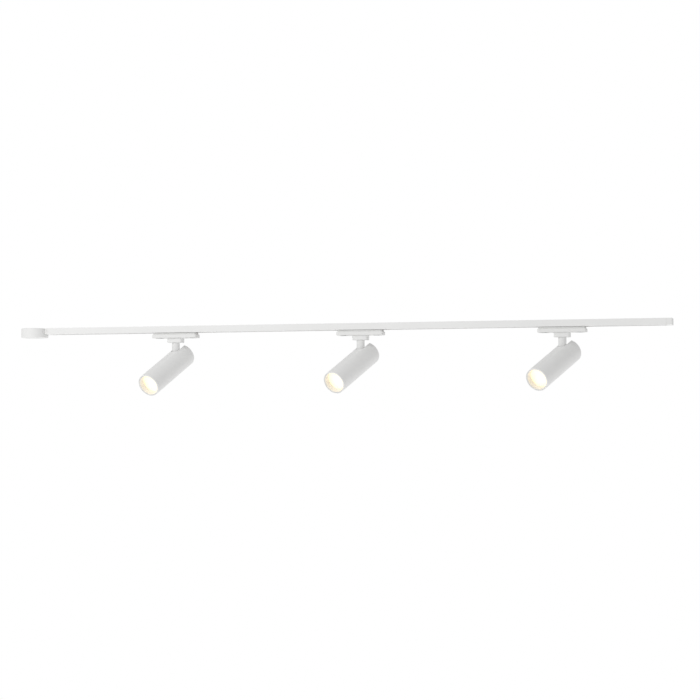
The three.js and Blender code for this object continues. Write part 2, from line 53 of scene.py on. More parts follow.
# ---------------------------------------------------------------- camera, light and floor
# A long lens beyond the track's right end and just below its level, turned back and tipped up.
# One large soft light stands at the front left, and a pale floor lies far below the ceiling.
camera = bpy.data.objects.new("camera", bpy.data.cameras.new("camera"))
camera.data.lens = 99.97
camera.data.sensor_width = 36
camera.data.clip_end = 100
camera.location = (1.178, -4.370, -0.283)
camera.rotation_euler = (math.radians(92.80), 0, math.radians(14.96))
scene.collection.objects.link(camera)
scene.camera = camera
scene.view_settings.view_transform = "Standard"


class Wire:
    """A shader socket that takes part in sums: each operation adds a Math node."""

    def __init__(self, nodes, socket):
        self.nodes = nodes
        self.socket = socket

    def math(self, operation, first, second):
        return self.nodes.node("ShaderNodeMath", {"operation": operation}, {0: first, 1: second})

    def __add__(self, other):
        return self.math("ADD", self, other)

    def __radd__(self, other):
        return self.math("ADD", other, self)

    def __sub__(self, other):
        return self.math("SUBTRACT", self, other)

    def __rsub__(self, other):
        return self.math("SUBTRACT", other, self)

    def __mul__(self, other):
        return self.math("MULTIPLY", self, other)

    def __rmul__(self, other):
        return self.math("MULTIPLY", other, self)


class Nodes:
    """A node tree under construction."""

    def __init__(self, tree):
        self.tree = tree

    def node(self, kind, settings=None, values=None, out=0):
        """Adds a node: its settings first, then its sockets' values or links. Gives one output."""
        made = self.tree.nodes.new(kind)
        for key, value in (settings or {}).items():
            setattr(made, key, value)
        for key, value in (values or {}).items():
            if isinstance(value, Wire):
                self.tree.links.new(value.socket, made.inputs[key])
            else:
                made.inputs[key].default_value = value
        return Wire(self, made.outputs[out])


room_light = 0.66
room = bpy.data.worlds.new("white_room")
room.use_nodes = True
scene.world = room
air = Nodes(room.node_tree)
in_view = air.node("ShaderNodeLightPath", out="Is Camera Ray")
backdrop = room.node_tree.nodes["Background"]
backdrop.inputs["Color"].default_value = (1, 1, 1, 1)
room.node_tree.links.new((in_view * (1 - room_light) + room_light).socket, backdrop.inputs["Strength"])

key_azimuth, key_elevation, key_distance = math.radians(33), math.radians(25), 3.2
key_toward = Vector((
    -math.sin(key_azimuth) * math.cos(key_elevation),
    -math.cos(key_azimuth) * math.cos(key_elevation),
    math.sin(key_elevation),
))
key = bpy.data.objects.new("key_light", bpy.data.lights.new("key_light", "AREA"))
key.data.size = 1.3
key.data.energy = 29
key.location = key_toward * key_distance
key.rotation_euler = key_toward.to_track_quat("Z", "Y").to_euler()
key.visible_camera = False
scene.collection.objects.link(key)

floor_level, floor_half = -5.2, 9.5
floor = bpy.data.objects.new("floor", bpy.data.meshes.new("floor"))
floor.data.from_pydata(
    [(x * floor_half, y * floor_half, floor_level) for x, y in ((-1, -1), (1, -1), (1, 1), (-1, 1))],
    [],
    [(0, 1, 2, 3)],
)
pale = bpy.data.materials.new("pale_floor")
pale.use_nodes = True
lit = pale.node_tree.nodes["Principled BSDF"].inputs
lit["Base Color"].default_value = (0.8, 0.8, 0.8, 1)
lit["Roughness"].default_value = 0.9
lit["Emission Color"].default_value = (1, 1, 1, 1)
lit["Emission Strength"].default_value = 0.62
floor.data.materials.append(pale)
scene.collection.objects.link(floor)


# ---------------------------------------------------------------- track profile
# An aluminium extrusion, powder coated white: a web against the ceiling with four fixing holes,
# two sides, and two bottom flanges with the slot for the adapters between them.
def rounded(corners, radius, steps=4):
    """A closed 2D outline with each corner eased; one radius for all, or one for each corner."""
    radii = radius if isinstance(radius, (list, tuple)) else [radius] * len(corners)
    points = []
    for index, ease in enumerate(radii):
        before, here = Vector(corners[index - 1]), Vector(corners[index])
        after = Vector(corners[(index + 1) % len(corners)])
        if ease <= 0:
            points.append(here)
            continue
        back, on = before - here, after - here
        reach = min(ease / math.tan(back.angle(on) / 2), back.length * 0.48, on.length * 0.48)
        start, end = here + back.normalized() * reach, here + on.normalized() * reach
        for step in range(steps + 1):
            share = step / steps
            points.append(start.lerp(here, share).lerp(here.lerp(end, share), share))
    return points


def part(name, build):
    """A new object whose mesh is built in millimetres by build(bmesh)."""
    shape = bmesh.new()
    build(shape)
    bmesh.ops.remove_doubles(shape, verts=shape.verts, dist=1e-4)
    bmesh.ops.recalc_face_normals(shape, faces=shape.faces)
    mesh = bpy.data.meshes.new(name)
    shape.to_mesh(mesh)
    shape.free()
    made = bpy.data.objects.new(name, mesh)
    scene.collection.objects.link(made)
    return made


def prism(name, outline, span, axis="x"):
    """A closed 2D outline pushed along an axis: (y, z) along x, (x, z) along y, (x, y) along z."""
    slot = "xyz".index(axis)

    def build(shape):
        rings = []
        for along in span:
            ring = []
            for point in outline:
                place = list(point)
                place.insert(slot, along)
                ring.append(shape.verts.new(place))
            rings.append(ring)
            shape.faces.new(ring)
        for index in range(len(outline)):
            first, second = rings
            shape.faces.new((first[index - 1], first[index], second[index], second[index - 1]))

    return part(name, build)


def block(name, x, y, z, corner=0):
    """A rectangular piece between three pairs of limits, its upright corners eased."""
    return prism(name, rounded([(x[0], y[0]), (x[1], y[0]), (x[1], y[1]), (x[0], y[1])], corner), z, "z")


def settled(piece):
    """Turns a piece and its modifiers into one plain mesh."""
    graph = bpy.context.evaluated_depsgraph_get()
    mesh = bpy.data.meshes.new_from_object(
        piece.evaluated_get(graph), preserve_all_data_layers=True, depsgraph=graph
    )
    piece.modifiers.clear()
    piece.data = mesh
    return piece


def combined(piece, operation, *tools):
    """Joins tools to a piece, cuts them from it, or keeps what they share."""
    for tool in tools:
        change = piece.modifiers.new(operation, "BOOLEAN")
        change.operation = operation
        change.solver = "EXACT"
        change.object = tool
        settled(piece)
        bpy.data.objects.remove(tool)
    return piece


def eased(piece, width, angle=35, segments=2):
    """Breaks the sharp edges, and shades flat faces flat and turned ones smooth."""
    piece.data.shade_smooth()
    piece.data.set_sharp_from_angle(angle=math.radians(angle))
    if width:
        bevel = piece.modifiers.new("edges", "BEVEL")
        bevel.width = width
        bevel.segments = segments
        bevel.limit_method = "ANGLE"
        bevel.angle_limit = math.radians(angle)
    shading = piece.modifiers.new("shading", "WEIGHTED_NORMAL")
    shading.keep_sharp = True
    return settled(piece)


def turned(name, profile, ease=0.4, sides=96, axis="x"):
    """A closed profile of (radius, distance) points, its corners eased, turned about an axis
    through the origin."""
    eases = ease if isinstance(ease, tuple) else [ease if radius else 0 for radius, _ in profile]
    outline = rounded(profile, eases)

    def build(shape):
        rings = []
        for radius, along in outline:
            ring = []
            for side in range(sides):
                angle = 2 * math.pi * (side + 0.5) / sides
                across, up = radius * math.cos(angle), radius * math.sin(angle)
                place = {"x": (along, across, up), "y": (across, along, up), "z": (across, up, along)}[axis]
                ring.append(shape.verts.new(place))
            rings.append(ring)
        for index, (radius, _) in enumerate(outline):
            if radius == 0 and outline[index - 1][0] == 0:
                continue
            first, second = rings[index - 1], rings[index]
            for side in range(sides):
                shape.faces.new((first[side - 1], first[side], second[side], second[side - 1]))

    def closed(shape):
        build(shape)
        bmesh.ops.remove_doubles(shape, verts=shape.verts, dist=1e-4)
        bmesh.ops.dissolve_degenerate(shape, edges=shape.edges, dist=1e-4)

    return part(name, closed)


def moved(piece, x=0, y=0, z=0):
    piece.data.transform(Matrix.Translation((x, y, z)))
    return piece


def rod(radius, span, x=0, y=0, z=0, axis="z", sides=48):
    """A plain round tool to cut with or to join."""
    start, end = span
    outline = [(0, start), (radius, start), (radius, end), (0, end)]
    return moved(turned("tool", outline, 0, sides, axis), x, y, z)


def set_out(template, name, places):
    """A copy of a finished piece at each place, in metres, and the template's end. The piece's own
    coordinates stay with it as an attribute that its finish reads."""
    for number, place in places.items():
        mesh = template.data.copy()
        own = mesh.attributes.new("own", "FLOAT_VECTOR", "POINT")
        shift = Vector((0.37 * number, 0, 0))
        for vertex, value in zip(mesh.vertices, own.data):
            value.vector = vertex.co * 0.001 + shift
        mesh.transform(place @ Matrix.Scale(0.001, 4))
        made = bpy.data.objects.new(name if number == 0 else f"{name}_{number}", mesh)
        scene.collection.objects.link(made)
        yield number, made
    bpy.data.objects.remove(template)


on_ceiling = {0: Matrix.Identity(4)}


class Finish(Nodes):
    """A piece's material: a Principled shader, and the patterns that feed it."""

    def __init__(self, name, **fixed):
        self.material = bpy.data.materials.new(name)
        self.material.use_nodes = True
        super().__init__(self.material.node_tree)
        self.shader = self.tree.nodes["Principled BSDF"].inputs
        for socket, value in fixed.items():
            self.shader[socket.replace("_", " ")].default_value = value
        self.own = self.node("ShaderNodeAttribute", {"attribute_name": "own"}, out="Vector")

    def feed(self, socket, wire):
        self.tree.links.new(wire.socket, self.shader[socket])

    def noise(self, scale, detail=2, where=None):
        values = {"Vector": where or self.own, "Scale": scale, "Detail": detail}
        return self.node("ShaderNodeTexNoise", None, values)

    def stretched(self, x, y, z):
        """The piece's own coordinates, drawn out along an axis for streaks."""
        values = {0: self.own, 1: (x, y, z)}
        return self.node("ShaderNodeVectorMath", {"operation": "MULTIPLY"}, values)

    def blend(self, share, first, second):
        """A colour between two."""
        return self.node("ShaderNodeMix", {"data_type": "RGBA"}, {0: share, 6: first, 7: second}, out=2)

    def between(self, value, low, high):
        """0 below low, 1 above high."""
        values = {"Value": value, "From Min": low, "From Max": high}
        return self.node("ShaderNodeMapRange", None, values)

    def edges(self):
        """1 along an outer edge, where handling polishes a piece and where a painted highlight lightens its
        colour.
        """
        return self.between(self.node("ShaderNodeNewGeometry", out="Pointiness"), 0.52, 0.60)

    def painted_shade_hollows(self):
        """1 in an inner corner, where painted shade darkens the colour."""
        return self.between(self.node("ShaderNodeNewGeometry", out="Pointiness"), 0.48, 0.42)

    def relief(self, height, depth, strength=1.0):
        values = {"Strength": strength, "Distance": depth, "Height": height}
        self.feed("Normal", self.node("ShaderNodeBump", None, values))

    def on(self, piece):
        piece.data.materials.clear()
        piece.data.materials.append(self.material)


# Powder coat: a soft orange peel about 2 mm across over a much finer grain.
paint = Finish("white_powder_coat", Specular_IOR_Level=0.45, Coat_Roughness=0.32, IOR=1.5)
paint_cloud = paint.noise(14, 3)
paint_grain = paint.noise(2400, 2)
paint_tone = paint.blend(paint_cloud, (0.775, 0.775, 0.768, 1), (0.825, 0.825, 0.818, 1))
# The outer edges are lightened as a painted highlight, and the inner corners are darkened as painted shade.
paint_highlit = paint.blend(paint.edges() * 0.5, paint_tone, (0.86, 0.86, 0.855, 1))
paint.feed("Base Color", paint.blend(paint.painted_shade_hollows() * 0.35, paint_highlit, (0.66, 0.655, 0.64, 1)))
paint.feed("Roughness", 0.42 + paint_grain * 0.12 - paint.edges() * 0.12)
paint.feed("Coat Weight", 0.08 + paint_cloud * 0.10)
paint.relief(paint.noise(420, 2) * 0.7 + paint_grain * 0.3, 0.00006, 0.35)

track_half, track_side, track_depth = 744, 17.5, 15.4
track_wall, slot_half = 1.5, 9.0
track_outer, track_inner = 0.6, 0.25
fixing_places, fixing_radius = (-600, -200, 200, 600), 2.5
inner_side, flange_top = track_side - track_wall, track_wall - track_depth
half_section = [
    (track_side, 0, track_outer),
    (track_side, -track_depth, track_outer),
    (slot_half, -track_depth, track_inner),
    (slot_half, flange_top, track_inner),
    (inner_side, flange_top, track_inner),
    (inner_side, -track_wall, track_inner),
]
section = half_section + [(-y, z, ease) for y, z, ease in reversed(half_section)]
track_outline = rounded([(y, z) for y, z, _ in section], [ease for _, _, ease in section])
track = prism("track", track_outline, (-track_half, track_half))
combined(track, "DIFFERENCE", *[rod(fixing_radius, (-3, 2), x) for x in fixing_places])
eased(track, 0.15)
for _, piece in set_out(track, "track_channel", on_ceiling):
    paint.on(piece)
    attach(piece, "root")
    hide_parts("track_profile")


# ---------------------------------------------------------------- insulators
# Two grey extruded plastic strips, pushed in along the track's sides. Each has a groove for its
# conductor, and its faces show the fine lines of the die.
die_grey = Finish("grey_extruded_plastic", Roughness=0.5, Specular_IOR_Level=0.4)
die_lines = die_grey.noise(1, 2, die_grey.stretched(12, 5200, 5200))
die_tone = die_grey.blend(die_grey.noise(40), (0.235, 0.242, 0.246, 1), (0.275, 0.282, 0.286, 1))
# The outer edges are lightened as a painted highlight.
die_grey.feed("Base Color", die_grey.blend(die_grey.edges() * 0.6, die_tone, (0.36, 0.365, 0.37, 1)))
die_grey.feed("Roughness", 0.46 + die_lines * 0.16)
die_grey.relief(die_lines, 0.00005, 0.5)

strip_end, strip_inner, strip_outer = 743, 12.3, 15.9
strip_low, strip_high = -13.8, -1.6
groove_low, groove_high, groove_back = -9.3, -6.1, 14.8
for side, node in ((-1, "insulator_front"), (1, "insulator_back")):
    strip_section = [
        (strip_inner, strip_high),
        (strip_outer, strip_high),
        (strip_outer, strip_low),
        (strip_inner, strip_low),
        (strip_inner, groove_low),
        (groove_back, groove_low),
        (groove_back, groove_high),
        (strip_inner, groove_high),
    ]
    strip = prism("strip", rounded([(side * y, z) for y, z in strip_section], 0.2), (-strip_end, strip_end))
    eased(strip, 0)
    for _, piece in set_out(strip, node + "_strip", on_ceiling):
        die_grey.on(piece)
        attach(piece, "root")
        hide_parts(node)


# ---------------------------------------------------------------- conductors
# Flat drawn copper bars laid in the insulators' grooves, live at the front and neutral at the
# back: bright along the rubbed middle, browner where the surface has tarnished.
copper = Finish("drawn_copper", Metallic=1.0)
draw_lines = copper.noise(1, 2, copper.stretched(9, 4600, 4600))
tarnish = copper.between(copper.noise(60, 3), 0.45, 0.70)
copper_bright = copper.blend(draw_lines, (0.84, 0.42, 0.24, 1), (0.92, 0.52, 0.33, 1))
copper.feed("Base Color", copper.blend(tarnish * 0.6, copper_bright, (0.50, 0.22, 0.12, 1)))
copper.feed("Roughness", 0.22 + draw_lines * 0.14 + tarnish * 0.16)
copper.relief(draw_lines, 0.00004, 0.4)

bar_near, bar_far, bar_low, bar_high = 12.7, 14.7, -9.2, -6.2
for side, node in ((-1, "conductor_live"), (1, "conductor_neutral")):
    corners = [(bar_near, bar_low), (bar_far, bar_low), (bar_far, bar_high), (bar_near, bar_high)]
    bar = prism("bar", rounded([(side * y, z) for y, z in corners], 0.35), (-strip_end, strip_end))
    eased(bar, 0)
    for _, piece in set_out(bar, node + "_bar", on_ceiling):
        copper.on(piece)
        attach(piece, "root")
        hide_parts(node)


# ---------------------------------------------------------------- end cap and feed connector
# White injection-moulded pieces with a spark-eroded surface, each with a plug pushed into the
# track. The cap closes the right end; the connector is the neck between the track and the canopy.
plastic = Finish("white_moulded_plastic", Specular_IOR_Level=0.5)
plastic_cloud = plastic.noise(22, 3)
plastic_grain = plastic.noise(3600, 2)
plastic_tone = plastic.blend(plastic_cloud, (0.765, 0.765, 0.755, 1), (0.805, 0.805, 0.795, 1))
# The outer edges are lightened as a painted highlight, and the inner corners are darkened as painted shade.
plastic_highlit = plastic.blend(plastic.edges() * 0.5, plastic_tone, (0.84, 0.84, 0.835, 1))
plastic.feed("Base Color", plastic.blend(plastic.painted_shade_hollows() * 0.35, plastic_highlit, (0.62, 0.615, 0.60, 1)))
plastic.feed("Roughness", 0.48 + plastic_grain * 0.10 - plastic.edges() * 0.15)
plastic.relief(plastic_grain * 0.6 + plastic.noise(1100, 2) * 0.4, 0.00004, 0.4)

plug_half, plug_low, plug_high = 12.1, -13.7, -1.7
plug_sides, plug_span = (-plug_half, plug_half), (plug_low, plug_high)
cap_plug_tip = 724
cap_back, cap_front, cap_edge = 744.1, 756.0, 0.8
cap_corners = [(-track_side, 0), (track_side, 0), (track_side, -track_depth), (-track_side, -track_depth)]
cap = eased(prism("cap", rounded(cap_corners, 0.9), (cap_back - 2, cap_front)), cap_edge, 60, 3)
combined(cap, "INTERSECT", block("room", (cap_back, cap_front + 2), (-20, 20), (-20, 5)))
combined(cap, "UNION", block("plug", (cap_plug_tip, cap_back + 1), plug_sides, plug_span))
eased(cap, 0.15, 50)
for _, piece in set_out(cap, "track_end_cap", on_ceiling):
    plastic.on(piece)
    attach(piece, "root")
    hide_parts("end_cap")

connector_head, connector_face, connector_tip, connector_half = -759.6, -744.1, -719.1, 11.0
connector = block(
    "head", (connector_head, connector_face), (-connector_half, connector_half), (-15.3, -0.3), 1.0
)
combined(connector, "UNION", block("plug", (connector_face - 1, connector_tip), plug_sides, plug_span))
eased(connector, 0.35)
for _, piece in set_out(connector, "track_feed_connector", on_ceiling):
    plastic.on(piece)
    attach(piece, "root")
    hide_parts("feed_connector")


# ---------------------------------------------------------------- feed canopy
# A drawn steel cup, powder coated like the track, with a mouth cut in its wall for the feed
# connector. It slips over the ceiling plate and a grub screw in its far side holds it there.
cover_low, cover_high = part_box("canopy_cover")
canopy_x = (cover_low.x + cover_high.x) * 500
canopy_place = {0: Matrix.Translation((canopy_x * 0.001, 0, 0))}
cup_radius, cup_depth, cup_wall, cup_rim = 32.5, 22.5, 1.6, 0.3
grub_height, grub_radius, grub_hole = -7.75, 1.5, 1.7
mouth_half, mouth_depth = 11.5, 15.9
cup_profile = [
    (0, -cup_depth),
    (cup_radius, -cup_depth),
    (cup_radius, -cup_rim),
    (cup_radius - cup_wall, -cup_rim),
    (cup_radius - cup_wall, cup_wall - cup_depth),
    (0, cup_wall - cup_depth),
]
cup_eases = (0, 1.6, 0.3, 0.3, 0.9, 0)
cup = turned("cup", cup_profile, cup_eases, 128, "z")
mouth = block("mouth", (0, cup_radius + 2), (-mouth_half, mouth_half), (-mouth_depth, 2))
combined(cup, "DIFFERENCE", mouth, rod(grub_hole, (0, cup_radius + 2), 0, 0, grub_height, "y", 32))
eased(cup, 0.2)
for _, piece in set_out(cup, "canopy_cup", canopy_place):
    paint.on(piece)
    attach(piece, "root")
    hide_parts("canopy_cover")

# ---------------------------------------------------------------- ceiling plate and grub screw
# A zinc-plated pressed plate, screwed to the ceiling over the cable outlet. Two ears bent down
# from it stand inside the cup, and the far one is tapped for the grub screw.
steel = Finish("zinc_plated_steel", Metallic=1.0)
steel_cloud = steel.noise(90, 3)
steel_rolled = steel.noise(1, 2, steel.stretched(300, 3800, 3800))
steel_tone = steel.blend(steel_cloud, (0.50, 0.515, 0.54, 1), (0.66, 0.67, 0.68, 1))
# The outer edges are lightened as a painted highlight.
steel.feed("Base Color", steel.blend(steel.edges() * 0.6, steel_tone, (0.78, 0.78, 0.78, 1)))
steel.feed("Roughness", 0.26 + steel_cloud * 0.16 + steel_rolled * 0.08)
steel.relief(steel_rolled, 0.00004, 0.35)

plate_radius, plate_thickness = 30.6, 1.5
notch_start, notch_half, ear_inner, ear_outer, ear_half, ear_foot = 23.9, 12.0, 28.4, 29.9, 6.0, -12.5
screw_hole, screw_hole_place = 2.5, 20.3
bush_x, bush_hole = 16.5, 5.5
plate = rod(plate_radius, (-plate_thickness, 0), sides=96)
for side in (-1, 1):
    ear_sides = sorted((side * ear_inner, side * ear_outer))
    combined(plate, "UNION", block("ear", (-ear_half, ear_half), ear_sides, (ear_foot, -0.5)))
combined(
    plate,
    "DIFFERENCE",
    block("notch", (notch_start, 40), (-notch_half, notch_half), (-5, 5)),
    rod(bush_hole, (-5, 5), bush_x),
    rod(screw_hole, (-5, 5), 0, screw_hole_place, sides=32),
    rod(screw_hole, (-5, 5), 0, -screw_hole_place, sides=32),
    rod(grub_hole, (0, 40), 0, 0, grub_height, "y", 32),
)
eased(plate, 0.25)
for _, piece in set_out(plate, "ceiling_plate", canopy_place):
    steel.on(piece)
    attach(piece, "root")
    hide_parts("canopy_plate")

grub_start, grub_end, grub_socket, grub_socket_depth = 27.4, 32.3, 0.75, 1.2
thread_pitch, thread_depth = 0.5, 0.16
grub_profile = [(0, grub_start), (grub_radius - 0.4, grub_start), (grub_radius, grub_start + 0.5)]
crest = grub_start + 0.5 + thread_pitch / 2
while crest < grub_end - thread_pitch:
    grub_profile += [(grub_radius - thread_depth, crest), (grub_radius, crest + thread_pitch / 2)]
    crest += thread_pitch
grub_profile += [(grub_radius - 0.15, grub_end), (0, grub_end)]
grub = turned("grub", grub_profile, 0, 32, "y")
socket_span = (grub_end - grub_socket_depth, grub_end + 1)
combined(grub, "DIFFERENCE", rod(grub_socket, socket_span, axis="y", sides=6))
moved(eased(grub, 0), z=grub_height)
for _, piece in set_out(grub, "grub_screw", canopy_place):
    steel.on(piece)
    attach(piece, "root")
    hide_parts("canopy_screw")


# ---------------------------------------------------------------- terminal block
# A moulded three-pole block under the plate: each pole has a wire hole through it and a well
# where a slotted screw clamps the wire.
block_back, block_front, block_half, block_top, block_foot = -7.9, 8.1, 12.0, -1.6, -12.6
pole_pitch, wire_hole, wire_level, well_radius = 8.0, 1.8, -7.65, 1.5
groove_half, groove_top = 0.5, -11.4
well_x = (block_back + block_front) / 2
block_sides, block_ends = (-block_half, block_half), (block_back, block_front)
terminals = block("terminals", block_ends, block_sides, (block_foot, block_top), 0.6)
for pole in (-1, 0, 1):
    y = pole * pole_pitch
    wire = rod(wire_hole, (-20, 20), 0, y, wire_level, "x", 32)
    well = rod(well_radius, (block_foot - 1, wire_level), well_x, y, sides=32)
    combined(terminals, "DIFFERENCE", wire, well)
for pole in (-0.5, 0.5):
    middle = pole * pole_pitch
    groove = block("groove", (-20, 20), (middle - groove_half, middle + groove_half), (-20, groove_top))
    combined(terminals, "DIFFERENCE", groove)
eased(terminals, 0.2)
for _, piece in set_out(terminals, "pole_block", canopy_place):
    plastic.on(piece)
    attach(piece, "root")
    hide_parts("terminal_block")


def screw_row():
    """The rule for a row of slotted screws: a tapered head with a slot, repeated along a line."""
    rule = bpy.data.node_groups.new("slotted_screws", "GeometryNodeTree")
    for name, kind in (
        ("Count", "NodeSocketInt"),
        ("First", "NodeSocketVector"),
        ("Step", "NodeSocketVector"),
        ("Turn", "NodeSocketVector"),
        ("Radius", "NodeSocketFloat"),
        ("Height", "NodeSocketFloat"),
        ("Slot", "NodeSocketFloat"),
    ):
        rule.interface.new_socket(name=name, in_out="INPUT", socket_type=kind)
    rule.interface.new_socket(name="Screws", in_out="OUTPUT", socket_type="NodeSocketGeometry")
    tree = Nodes(rule)
    given = rule.nodes.new("NodeGroupInput")
    size = {socket.name: Wire(tree, socket) for socket in given.outputs if socket.name}
    head = tree.node("GeometryNodeMeshCone", None, {
        "Vertices": 32,
        "Radius Top": size["Radius"] * 0.86,
        "Radius Bottom": size["Radius"],
        "Depth": size["Height"],
    })
    slot_size = tree.node("ShaderNodeCombineXYZ", None, {
        "X": size["Radius"] * 3,
        "Y": size["Slot"],
        "Z": size["Height"] * 1.1,
    })
    slot = tree.node("GeometryNodeMeshCube", None, {"Size": slot_size})
    lift = tree.node("ShaderNodeCombineXYZ", None, {"Z": size["Height"]})
    lifted = tree.node("GeometryNodeTransform", None, {"Geometry": slot, "Translation": lift})
    cut = tree.node(
        "GeometryNodeMeshBoolean", {"operation": "DIFFERENCE", "solver": "EXACT"}, {0: head, 1: lifted}
    )
    line = tree.node("GeometryNodeMeshLine", None, {
        "Count": size["Count"],
        "Start Location": size["First"],
        "Offset": size["Step"],
    })
    repeated = tree.node(
        "GeometryNodeInstanceOnPoints", None, {"Points": line, "Instance": cut, "Rotation": size["Turn"]}
    )
    real = tree.node("GeometryNodeRealizeInstances", None, {"Geometry": repeated})
    coated = tree.node("GeometryNodeSetMaterial", None, {"Geometry": real, "Material": steel.material})
    given_back = rule.nodes.new("NodeGroupOutput")
    rule.links.new(coated.socket, given_back.inputs[0])
    return rule


def screws(name, **sizes):
    """A plain mesh of one row of slotted screws."""
    holder = part(name, lambda shape: None)
    row = holder.modifiers.new("screws", "NODES")
    row.node_group = slotted_screws
    for item in slotted_screws.interface.items_tree:
        if item.in_out == "INPUT":
            row[item.identifier] = sizes[item.name]
    return eased(settled(holder), 0)


slotted_screws = screw_row()
terminal_screws = screws(
    "terminal_screws",
    Count=3,
    First=(well_x, -pole_pitch, -10.4),
    Step=(0.0, pole_pitch, 0.0),
    Turn=(math.pi, 0.0, 0.0),
    Radius=1.35,
    Height=1.0,
    Slot=0.45,
)
for _, piece in set_out(terminal_screws, "pole_screws", canopy_place):
    steel.on(piece)
    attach(piece, "root")


# ---------------------------------------------------------------- cable bush
# A black rubber grommet pushed up through the plate, so that the mains cable can't chafe.
rubber = Finish("black_rubber", Specular_IOR_Level=0.35)
rubber_bloom = rubber.noise(240, 3)
rubber_tone = rubber.blend(rubber_bloom, (0.014, 0.0145, 0.015, 1), (0.028, 0.029, 0.030, 1))
# The outer edges are lightened as a painted highlight.
rubber.feed("Base Color", rubber.blend(rubber.edges() * 0.5, rubber_tone, (0.07, 0.07, 0.07, 1)))
rubber.feed("Roughness", 0.58 + rubber_bloom * 0.20)
rubber.relief(rubber.noise(2600, 2), 0.00005, 0.4)

bush_bore, bush_neck, bush_rim, rim_top, rim_foot = 4.0, 5.4, 6.4, -1.6, -3.5
bush_profile = [
    (bush_bore, 0),
    (bush_neck, 0),
    (bush_neck, rim_top),
    (bush_rim, rim_top),
    (bush_rim, rim_foot),
    (bush_bore, rim_foot),
]
bush = moved(turned("bush", bush_profile, (0.4, 0.3, 0.1, 0.4, 0.9, 0.6), 48, "z"), bush_x)
eased(bush, 0)
for _, piece in set_out(bush, "cable_grommet", canopy_place):
    rubber.on(piece)
    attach(piece, "root")
    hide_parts("cable_bush")


# ---------------------------------------------------------------- adapter housings
# A white moulded bar under the track, a narrower shoe on it, and a hollow neck that stands up in
# the track's slot. Two round wells in its underside hold the lock lever and the contact rotor.
joints = {joint["name"]: joint for joint in frame["joints"]}
adapter_places = {}
for number in (1, 2, 3):
    low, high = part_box(f"adapter_housing_{number}")
    adapter_places[number] = Matrix.Translation(((low.x + high.x) / 2, 0, 0))

adapter_half, adapter_side, adapter_top, adapter_foot = 55.25, 16.0, -19.9, -28.1
adapter_corner, adapter_edge = 4.0, 0.7
shoe_half, shoe_side, shoe_top, shoe_corner = 53.0, 13.5, -15.9, 4.0
neck_half, neck_side, neck_top, neck_wall, neck_corner = 25.0, 8.5, -2.5, 1.6, 0.8
room_corner, lead_hole = 0.6, 4.0
shoe_span, neck_span = (adapter_top - 1, shoe_top), (shoe_top - 1, neck_top)
rotor_reach, shaft_well, thumb_well, thumb_top = 40.0, 4.6, 11.0, -25.1
adapter = block(
    "adapter",
    (-adapter_half, adapter_half),
    (-adapter_side, adapter_side),
    (adapter_foot, adapter_top),
    adapter_corner,
)
eased(adapter, adapter_edge, 60, 3)
combined(
    adapter,
    "UNION",
    block("shoe", (-shoe_half, shoe_half), (-shoe_side, shoe_side), shoe_span, shoe_corner),
    block("neck", (-neck_half, neck_half), (-neck_side, neck_side), neck_span, neck_corner),
)
room_x, room_y = neck_half - neck_wall, neck_side - neck_wall
combined(
    adapter,
    "DIFFERENCE",
    block("room", (-room_x, room_x), (-room_y, room_y), (adapter_foot + 2, 0), room_corner),
    rod(lead_hole, (adapter_foot - 1, adapter_foot + 3)),
)
for x in (-rotor_reach, rotor_reach):
    shaft_room = rod(shaft_well, (adapter_foot - 1, 0), x)
    combined(adapter, "DIFFERENCE", shaft_room, rod(thumb_well, (adapter_foot - 1, thumb_top), x, sides=72))
eased(adapter, 0.18, 50)
for number, piece in set_out(adapter, "adapter_body", adapter_places):
    plastic.on(piece)
    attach(piece, f"adapter_{number}")
    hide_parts(f"adapter_housing_{number}")


# ---------------------------------------------------------------- swivel bases
# A moulded block with well-rounded corners, screwed up under the adapter. The stem drops in from
# above, and its flange rests in the counterbore.
base_half, base_side, base_top, base_foot, base_corner = 18.5, 11.9, -28.2, -38.8, 6.0
base_floor, stem_passage, counterbore = 4, 9.4, 10.8
base = block("base", (-base_half, base_half), (-base_side, base_side), (base_foot, base_top), base_corner)
combined(
    base,
    "DIFFERENCE",
    rod(stem_passage, (base_foot - 1, 0), sides=72),
    rod(counterbore, (base_foot + base_floor, 0), sides=72),
)
eased(base, 0.45, 50, 3)
for number, piece in set_out(base, "swivel_block", adapter_places):
    plastic.on(piece)
    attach(piece, f"adapter_{number}")
    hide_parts(f"swivel_base_{number}")


# ---------------------------------------------------------------- lock levers
# Grey moulded nylon. The thumb disc is sunk in the adapter's underside with a grip bar across it;
# its shaft runs up to a wing that lies across the track, above both flanges, and holds it there.
nylon = Finish("grey_moulded_nylon", Specular_IOR_Level=0.45)
nylon_cloud = nylon.noise(70, 3)
nylon_grain = nylon.noise(3200, 2)
nylon_tone = nylon.blend(nylon_cloud, (0.235, 0.242, 0.248, 1), (0.285, 0.292, 0.298, 1))
# The outer edges are lightened as a painted highlight.
nylon.feed("Base Color", nylon.blend(nylon.edges() * 0.6, nylon_tone, (0.40, 0.405, 0.41, 1)))
nylon.feed("Roughness", 0.44 + nylon_grain * 0.14 - nylon.edges() * 0.12)
nylon.relief(nylon_grain, 0.00004, 0.45)


def arc_ended(name, half_length, width, span):
    """A bar across the track whose two ends are arcs about its own centre."""
    bar = block(name, (-width / 2, width / 2), (-half_length - 2, half_length + 2), span)
    return combined(bar, "INTERSECT", rod(half_length, (span[0] - 1, span[1] + 1), sides=96))


thumb_radius, disc_foot, disc_top, shaft_radius = 10.8, -26.6, -25.2, 4.4
grip_half, grip_width, grip_span = 10.6, 3.6, (-28.0, -26.0)
rotor_width = 8.0


